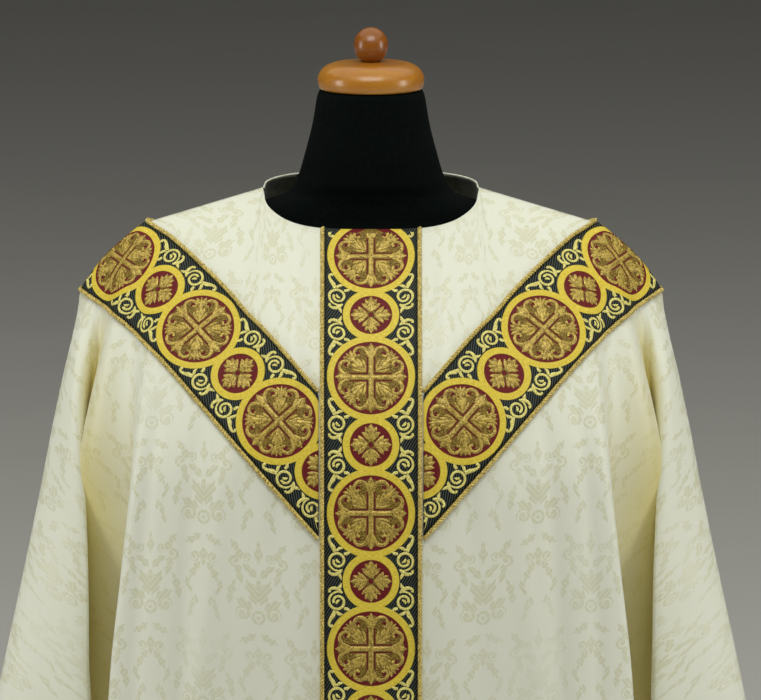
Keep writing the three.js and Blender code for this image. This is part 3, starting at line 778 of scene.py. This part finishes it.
def curl(middle, radius, start, sweep, shrink, count):
    """Points of a curl that winds inwards."""
    turn = np.radians(np.linspace(start, start + sweep, count))
    reach = radius * np.linspace(1, shrink, count) ** 0.9
    return [(middle[0] + r * math.cos(a), middle[1] + r * math.sin(a)) for r, a in zip(reach, turn)]


CORNER = (
    (curl((34, 20.5), 10.2, -120, 500, 0.34, 26), (1.6, 3.0, 3.0, 2.6, 3.0), 0.7, 44),
    ([(35.4, 22.8), (34.2, 20.2), (31.4, 18.8)], (1.4, 3.4, 1.0), 0.8, 6),
    ([(29.5, 11.8), (33, 8.4), (38, 6.8), (42.4, 8.6), (42.0, 11.2)], (2.2, 4.2, 3.6, 2.6, 3.0), 0.7, 12),
    ([(34, 8.6), (31.4, 5.2), (30.2, 1.6)], (2.8, 3.6, 0.6), 0.7, 7),
    ([(37, 29.6), (38.6, 34.5), (41.4, 38.6), (42.8, 43.4), (40.6, 45.8), (38.6, 44.2)],
     (3.0, 5.2, 3.6, 2.8, 2.8, 3.2), 0.7, 15),
    ([(27.4, 27.6), (24, 28.2), (20.4, 30.2)], (3.0, 3.8, 0.6), 0.7, 7),
    ([(35.6, 31), (31.5, 33.4), (28.2, 33.4)], (3.0, 3.6, 0.6), 0.7, 7),
)
large_figure = roundel(LARGE_SINGLE, LARGE_PAIR)
small_figure = roundel(SMALL_SINGLE, SMALL_PAIR)
corner_figure = [satin([(corner_x * a, corner_y * b) for a, b in path], *sizes)
                 for corner_x in (1, -1) for corner_y in (1, -1) for path, *sizes in CORNER]

gold_thread, dye, feed = new_finish("gold_thread", Metallic=0.25, Specular_IOR_Level=0.6)
spot = dye.spot()
glint = dye.grain(spot, 900.0, 1.0)
mottle = dye.grain(spot, 260.0, 2.0)
tone = (glint * 0.6 + mottle * 0.4).soft(0.36, 0.62)
feed(
    Base_Color=tone.blend((0.20, 0.12, 0.012), (0.66, 0.475, 0.085)),
    Roughness=0.55 - 0.2 * tone,
    Normal=dye.bump(glint, 0.8, 0.0005),
)
yellow_thread, dye, feed = new_finish("yellow_thread", Specular_IOR_Level=0.5)
spot = dye.spot()
glint = dye.grain(spot, 800.0, 1.0)
feed(
    Base_Color=glint.soft(0.34, 0.64).blend((0.55, 0.46, 0.10), (0.88, 0.80, 0.25)),
    Roughness=0.58 - 0.15 * glint,
    Normal=dye.bump(glint, 0.7, 0.0005),
)

# Roundels that a band may hold, and the part of a panel's height that is embroidered.
ROUNDELS = range(-3, 19)
SEWN_TOP = 0.0035
SEWN_FOOT = 0.997


def embroider(name, band, inner, figures, finish):
    """Lays figures at their places along a band and leaves out what its ends cut off."""
    along, across, lift, faces, count = [], [], [], [], 0
    for middle, figure in figures:
        for points, quads in figure:
            across.append(points[:, 0])
            along.append(middle + points[:, 1] * band.pitch / REPEAT)
            lift.append(points[:, 2])
            faces.append(quads + count)
            count += len(points)
    along, across, lift, faces = map(np.concatenate, (along, across, lift, faces))
    inside = (along > 0) & (along < (band.u.shape[0] - 2) * band.STEP_ALONG)
    u, v = band.places(along, across)
    points = band.drape.face(u, v, LIFT + lift)
    inside &= (v > SEWN_TOP) & (v < SEWN_FOOT)
    if inner is not None:
        inside &= np.abs(points[:, 0]) > inner
    faces = faces[inside[faces].all(1)]
    a, b, c, d = (points[corner] for corner in faces.T)
    wrong = (np.cross(c - a, d - b) * band.drape.normal(u, v)[faces[:, 0]]).sum(1) < 0
    faces[wrong] = faces[wrong, ::-1]
    used, faces = np.unique(faces, return_inverse=True)
    piece = new_piece(name, points[used], faces.reshape(-1, 4).tolist())
    piece.data.materials.append(finish)
    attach(piece, "root")


for name, (band, inner) in bands.items():
    half = band.pitch / 2
    middles = [(band.first + half * k, k) for k in ROUNDELS]
    gold_figures = [(t_middle, large_figure if k % 2 == 0 else small_figure) for t_middle, k in middles]
    corners = [(t_middle, corner_figure) for t_middle, k in middles if k % 2]
    embroider(f"{name}_gold_figures", band, inner, gold_figures, gold_thread)
    embroider(f"{name}_scrolls", band, inner, corners, yellow_thread)


# ---- Twisted cords ------------------------------------------------------------------
# Gold cord of two plies, 5 mm thick, couched along both edges of every band, so that the
# band's cut edge is hidden under it.
CORD_LIFT = 2.35


class Recipe:
    """A tree that makes a mesh along a line, with named inputs for its sizes and finish."""

    def __init__(self, name, **sizes):
        self.tree = bpy.data.node_groups.new(name, "GeometryNodeTree")
        self.promise("Geometry", "INPUT", "Geometry")
        for size, value in sizes.items():
            self.promise(size.replace("_", " "), "INPUT", "Float").default_value = value
        self.promise("Finish", "INPUT", "Material")
        self.promise("Geometry", "OUTPUT", "Geometry")
        self.given = self.add("NodeGroupInput").outputs

    def promise(self, name, way, kind):
        return self.tree.interface.new_socket(name, in_out=way, socket_type=f"NodeSocket{kind}")

    def add(self, kind, inputs=(), **settings):
        """A node whose inputs come from other nodes' sockets or are plain values."""
        made = self.tree.nodes.new(kind)
        for name, value in settings.items():
            setattr(made, name, value)
        for name, value in dict(inputs).items():
            if isinstance(value, bpy.types.NodeSocket):
                self.tree.links.new(value, made.inputs[name])
            else:
                made.inputs[name].default_value = value
        return made

    def maths(self, operation, *values):
        return self.add("ShaderNodeMath", enumerate(values), operation=operation).outputs[0]

    def along(self, gap):
        """The line's points, one every gap."""
        inputs = {"Curve": self.given["Geometry"], "Length": self.given[gap]}
        return self.add("GeometryNodeResampleCurve", inputs, mode="LENGTH").outputs[0]

    def finish(self, made):
        """Ends the tree: what it made becomes real and takes its finish."""
        real = self.add("GeometryNodeRealizeInstances", {0: made.outputs[0]})
        inputs = {"Geometry": real.outputs[0], "Material": self.given["Finish"]}
        self.add("NodeGroupOutput", {0: self.add("GeometryNodeSetMaterial", inputs).outputs[0]})
        return self.tree


def twisted_cord_tree():
    recipe = Recipe("twisted_cord", Ply_Radius=0.00142, Twist_Radius=0.0012, Pitch=0.0070, Step=0.0015)
    given = recipe.given
    line = recipe.along("Step")
    normal = recipe.add("GeometryNodeInputNormal").outputs[0]
    tangent = recipe.add("GeometryNodeInputTangent").outputs[0]
    across = {0: tangent, 1: normal}
    binormal = recipe.add("ShaderNodeVectorMath", across, operation="CROSS_PRODUCT").outputs[0]
    length = recipe.add("GeometryNodeSplineParameter").outputs["Length"]
    ring = recipe.add("GeometryNodeCurvePrimitiveCircle", {"Resolution": 6, "Radius": given["Ply Radius"]})
    join = recipe.add("GeometryNodeJoinGeometry")
    for ply in range(2):
        turns = recipe.maths("DIVIDE", length, given["Pitch"])
        angle = recipe.maths("MULTIPLY_ADD", turns, math.tau, math.pi * ply)
        sides = []
        for wave, way in (("COSINE", normal), ("SINE", binormal)):
            reach = recipe.maths("MULTIPLY", recipe.maths(wave, angle), given["Twist Radius"])
            side = recipe.add("ShaderNodeVectorMath", {0: way, "Scale": reach}, operation="SCALE")
            sides.append(side.outputs[0])
        shift = recipe.add("ShaderNodeVectorMath", enumerate(sides))
        moved = recipe.add("GeometryNodeSetPosition", {"Geometry": line, "Offset": shift.outputs[0]})
        tube = recipe.add("GeometryNodeCurveToMesh", {
            "Fill Caps": True, "Curve": moved.outputs[0], "Profile Curve": ring.outputs[0]})
        recipe.tree.links.new(tube.outputs[0], join.inputs[0])
    return recipe.finish(join)


def run_tree(name, tree, points, inputs):
    """Runs a tree on an open line through points and returns the plain mesh it makes."""
    curve = bpy.data.curves.new(f"{name}_line", "CURVE")
    curve.dimensions = "3D"
    spline = curve.splines.new("POLY")
    spline.points.add(len(points) - 1)
    spline.points.foreach_set("co", np.column_stack([points / 1000, np.ones(len(points))]).ravel())
    holder = bpy.data.objects.new(f"{name}_line", curve)
    bpy.context.collection.objects.link(holder)
    modifier = holder.modifiers.new("tree", "NODES")
    modifier.node_group = tree
    sockets = {item.name: item.identifier for item in tree.interface.items_tree if item.in_out == "INPUT"}
    for key, value in inputs.items():
        modifier[sockets[key]] = value
    seen = holder.evaluated_get(bpy.context.evaluated_depsgraph_get())
    mesh = bpy.data.meshes.new_from_object(seen)
    mesh.name = name
    bpy.data.objects.remove(holder)
    mesh.shade_smooth()
    piece = bpy.data.objects.new(name, mesh)
    bpy.context.collection.objects.link(piece)
    return piece


cord, dye, feed = new_finish("cord", Metallic=0.2, Specular_IOR_Level=0.6)
spot = dye.spot()
strand = dye.grain(spot, 1100.0, 1.0)
wear = dye.grain(spot, 310.0, 1.0)
feed(
    Base_Color=(strand * 0.7 + wear * 0.3).soft(0.34, 0.62).blend((0.19, 0.12, 0.014), (0.80, 0.63, 0.17)),
    Roughness=0.5 - 0.15 * strand,
    Normal=dye.bump(strand, 0.7, 0.0004),
)
cord_tree = twisted_cord_tree()
for name, (band, inner) in bands.items():
    sides = (("left", 1), ("right", -1)) if inner is None else (("upper", -1), ("lower", 1))
    for edge_name, hand in sides:
        start, end = band.span(hand * CORD_LINE, None if inner is None else ARM_START + 0.5)
        along = np.linspace(start + 0.5, end - 1.5, int((end - start) / 3))
        line = band.face(along, np.full(len(along), hand * CORD_LINE), CORD_LIFT)
        piece = run_tree(f"{name}_cord_{edge_name}_twist", cord_tree, line, {"Finish": cord})
        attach(piece, "root")
        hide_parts(f"{name}_cord_{edge_name}")


# ---- Hem and neck stitching ---------------------------------------------------------
# The hems and the neck edges are turned under and held by a row of small running
# stitches in cream thread.
NECK_U = 0.14
STITCH_POINTS = 240


def running_stitch_tree():
    recipe = Recipe("running_stitch", Gap=0.0046, Length=0.003, Thread=0.0007)
    given = recipe.given
    thread = given["Thread"]
    size = recipe.add("ShaderNodeCombineXYZ", {"X": thread, "Y": thread, "Z": given["Length"]})
    bead = recipe.add("GeometryNodeMeshUVSphere", {"Segments": 6, "Rings": 4, "Radius": 0.5})
    tangent = recipe.add("GeometryNodeInputTangent").outputs[0]
    turn = recipe.add("FunctionNodeAlignRotationToVector", {"Vector": tangent}, axis="Z")
    return recipe.finish(recipe.add("GeometryNodeInstanceOnPoints", {
        "Points": recipe.along("Gap"), "Instance": bead.outputs["Mesh"],
        "Rotation": turn.outputs[0], "Scale": size.outputs[0]}))


cream_thread, dye, feed = new_finish("cream_thread", Specular_IOR_Level=0.5)
spot = dye.spot()
ply = dye.grain(spot, 2200.0, 1.0)
feed(
    Base_Color=ply.soft(0.3, 0.7).blend((0.60, 0.58, 0.43), (0.80, 0.79, 0.64)),
    Roughness=0.5 + 0.1 * ply,
    Normal=dye.bump(ply, 0.5, 0.0002),
)
stitch_tree = running_stitch_tree()
for side, drape in drapes.items():
    for edge_name, from_u, to_u, edge_v, inset in (
        ("hem_left", 0.553, 0.994, 1.0, 14),
        ("hem_right", 0.006, 0.447, 1.0, 14),
        ("neck_left", 0.546, 0.5 + NECK_U, 0.0, 6),
        ("neck_right", 0.5 - NECK_U, 0.454, 0.0, 6),
    ):
        u = np.linspace(from_u, to_u, STITCH_POINTS)
        near_edge = np.full(STITCH_POINTS, min(max(edge_v, 0.01), 0.99))
        fall = np.linalg.norm(drape.slopes(u, near_edge)[1], axis=-1)
        line = drape.face(u, edge_v + inset / fall * (1 if edge_v == 0 else -1), 0.05)
        piece = run_tree(f"{side}_{edge_name}_stitches", stitch_tree, line, {"Finish": cream_thread})
        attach(piece, "root")


# ---- Dress form ---------------------------------------------------------------------
# A limbless moulded body covered in near-black stretch jersey, with a short neck that
# carries the cap. A ring of it is a height, half a width, half a depth, and a place forward.
FORM_RINGS = np.array([
    (800, 158, 104, 6), (812, 166, 112, 6), (900, 168, 114, 6), (1010, 152, 104, 10), (1100, 154, 106, 14),
    (1200, 172, 116, 20), (1290, 190, 112, 18), (1350, 204, 92, 10), (1385, 206, 72, 4), (1405, 194, 58, 0),
    (1421, 158, 49, 0), (1434, 118, 48, 0), (1446, 86, 52, -1), (1462, 77, 60, -2), (1486, 69.8, 60, 0),
    (1518, 61.8, 57.5, 0), (1546, 57, 57, 0), (1551.7, 54.5, 54.5, 0),
], float)
FORM_ROWS = 150
FORM_SIDES = 96
SKIN_IN = 1.3


def smooth_rings(rings, count):
    """Rings between the given ones, eased so that none swells past its neighbours."""
    step = np.diff(rings, axis=0)
    slope = np.zeros_like(rings)
    same = step[:-1] * step[1:] > 0
    slope[1:-1] = np.where(same, 2 * step[:-1] * step[1:] / np.where(same, step[:-1] + step[1:], 1), 0)
    slope[0], slope[-1] = step[0], step[-1]
    return eased(rings, slope, np.linspace(0, len(rings) - 1, count))


def closed_body(name, rings):
    """A closed body through rings of points, its two ends filled to a middle point."""
    count, sides = rings.shape[:2]
    points = np.concatenate([rings.reshape(-1, 3), rings[0].mean(0)[None], rings[-1].mean(0)[None]])
    at = np.arange(count * sides).reshape(count, sides)
    onward = np.roll(at, -1, axis=1)
    quads = np.stack([at[:-1], onward[:-1], onward[1:], at[1:]], -1).reshape(-1, 4).tolist()
    foot, head = count * sides, count * sides + 1
    caps = [(foot, b, a) for a, b in zip(at[0], onward[0])]
    caps += [(head, a, b) for a, b in zip(at[-1], onward[-1])]
    return new_piece(name, points, quads + caps)


angle = np.linspace(0, math.tau, FORM_SIDES, endpoint=False)
bend = lambda value: np.sign(value) * np.abs(value) ** (2 / 2.3)
rings = []
for z, width, deep, ahead in smooth_rings(FORM_RINGS, FORM_ROWS):
    ring_x = (width - SKIN_IN) * bend(np.cos(angle))
    ring_y = (deep - SKIN_IN) * bend(np.sin(angle)) - ahead
    rings.append(np.stack([ring_x, ring_y, np.full(FORM_SIDES, z)], 1))
rings.insert(0, rings[0] * (0.9, 0.9, 1))
form = closed_body("form_body_jersey", np.array(rings))

jersey, dye, feed = new_finish("jersey", Specular_IOR_Level=0.06)
spot = dye.spot()
form_x, _, form_z = spot.parts()
knit = (form_z * 4200).sine() * (form_x * 3600).sine()
fluff = dye.grain(spot, 300.0, 3.0)
feed(
    Base_Color=(knit * 0.25 + fluff).soft(0.2, 0.9).blend((0.0008, 0.0018, 0.0016), (0.0022, 0.0042, 0.0038)),
    Roughness=0.95 - 0.06 * fluff,
    Normal=dye.bump(knit * 0.5 + fluff * 0.5, 0.4, 0.0004),
)
form.data.materials.append(jersey)
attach(form, "root")
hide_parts("form_body")


# ---- Neck cap and ball --------------------------------------------------------------
# Two turned pieces of varnished wood: a flattened cap that closes the neck, and a small
# egg-shaped ball of darker wood dowelled into its top.
CAP_Z = 1552.0


def arc(out, z, across, up, turns):
    """Places (out, height) on an oval round a middle, at turns up from level."""
    turns = np.radians(turns)
    return list(zip(out + across * np.cos(turns), z + up * np.sin(turns)))


def lathe(name, outline, sides=96):
    turn = np.linspace(0, math.tau, sides, endpoint=False)
    rings = [np.column_stack([r * np.cos(turn), r * np.sin(turn), np.full(sides, z)]) for r, z in outline]
    return closed_body(name, np.array(rings))


def wood(name, dark, light, turn):
    finish, dye, feed = new_finish(name, Coat_Weight=0.25, Coat_Roughness=0.14)
    spot = dye.spot()
    warp = dye.grain(dye.stretched(spot, (9, 9, 9)), 1.0, 2.0)
    along = dye.stretched(spot, (30, 150, 260), turn)
    rings = dye.grain(along, 1.0, 3.0)
    pores = dye.grain(dye.stretched(spot, (160, 1500, 1500), turn), 1.0, 1.0)
    tone = (rings * 0.35 + warp * 0.65).soft(0.28, 0.72)
    feed(
        Base_Color=pores.soft(0.25, 0.45).blend(dark, tone.blend(dark, light)),
        Roughness=0.34 - 0.08 * tone,
        Normal=dye.bump(pores * 0.4 + rings * 0.6, 0.12, 0.0004),
    )
    return finish


cap_outline = [
    (0.5, CAP_Z + 0.3), (44, CAP_Z + 0.3), (51, CAP_Z + 0.9),
    *arc(51.3, CAP_Z + 11, 4, 10.3, np.linspace(-70, 0, 9)),
    *arc(33, CAP_Z + 11, 22.3, 17.4, np.linspace(6, 90, 20)),
    (22, CAP_Z + 28.9), (12, CAP_Z + 29.2), (2, CAP_Z + 29.3),
]
cap = lathe("neck_cap_turned", cap_outline)
cap.data.materials.append(wood("honey_varnish", (0.36, 0.125, 0.010), (0.50, 0.225, 0.018), (0.3, 0, 0.2)))
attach(cap, "root")
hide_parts("neck_cap")

ball_foot = CAP_Z + 29.5
turns = np.linspace(-54, 89, 36)
ball_outline = [(2, ball_foot + 0.2), (9.2, ball_foot + 0.2), (9.7, ball_foot + 0.8)]
ball_outline += arc(0, ball_foot + 17, 17.9, np.where(turns < 0, 19.6, 18.7), turns)
ball = lathe("cap_ball_turned", ball_outline, 72)
ball.data.materials.append(wood("amber_varnish", (0.20, 0.052, 0.003), (0.34, 0.115, 0.007), (0.2, 0.1, 1.1)))
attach(ball, "root")
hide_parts("cap_ball")


# ---- Stand --------------------------------------------------------------------------
# A plain turned pole that carries the form, and a round base with an eased edge, both of
# varnished wood.
stand_wood = wood("stand_varnish", (0.24, 0.085, 0.018), (0.50, 0.21, 0.055), (0, 1.57, 0))
pole = lathe("pole_turned", [(13.8, z) for z in np.linspace(30.4, 799.6, 40)], 48)
base = lathe("base_turned", [
    (219, 0), (220.3, 1.3), (220.3, 20),
    *arc(212.3, 21.9, 8, 8, np.linspace(0, 90, 8)),
    (120, 29.9), (36, 29.9), (30, 29.9),
], 128)
for piece, node in ((pole, "pole"), (base, "base")):
    piece.data.materials.append(stand_wood)
    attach(piece, "root")
    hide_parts(node)


# ---- Floor and light ----------------------------------------------------------------
# A pale floor that runs far back, a large soft light overhead, a small one above in front,
# and one on each side for the outer folds.
floor_mesh = bpy.data.meshes.new("studio_floor")
floor_mesh.from_pydata([(-30, -30, 0), (30, -30, 0), (30, 30, 0), (-30, 30, 0)], [], [(0, 1, 2, 3)])
floor = bpy.data.objects.new("studio_floor", floor_mesh)
bpy.context.collection.objects.link(floor)
paper, dye, feed = new_finish("studio_paper", Roughness=0.9)
feed(Base_Color=dye.grain(dye.spot(), 3.0).blend((0.70, 0.70, 0.70), (0.74, 0.74, 0.74)))
floor_mesh.materials.append(paper)

world = bpy.data.worlds.new("studio")
world.use_nodes = True
background = world.node_tree.nodes["Background"].inputs
background["Color"].default_value = (0.90, 0.88, 0.82, 1)
background["Strength"].default_value = 0.05
bpy.context.scene.world = world


def soft_light(name, size, power, place, aim, colour=(1, 1, 1)):
    light = bpy.data.lights.new(name, "AREA")
    light.shape = "RECTANGLE"
    light.size, light.size_y = size
    light.energy = power
    light.color = colour
    lamp = bpy.data.objects.new(name, light)
    lamp.location = place
    lamp.rotation_euler = (Vector(aim) - Vector(place)).to_track_quat("-Z", "Y").to_euler()
    bpy.context.collection.objects.link(lamp)


soft_light("ceiling", (12, 12), 400, (0, 0, 6.2), (0, 0.01, 0), (1, 0.985, 0.86))
soft_light("key", (1.8, 1.2), 30, (0.0, -1.6, 3.3), (0, -0.1, 1.3), (0.95, 0.98, 1))
soft_light("left", (0.9, 1.8), 29, (-3.0, -0.9, 1.7), (0, 0, 1.0), (0.98, 0.99, 0.98))
soft_light("right", (0.9, 1.8), 29, (3.0, -0.9, 1.7), (0, 0, 1.0), (0.98, 0.99, 0.98))

bpy.context.scene.view_settings.view_transform = "Standard"
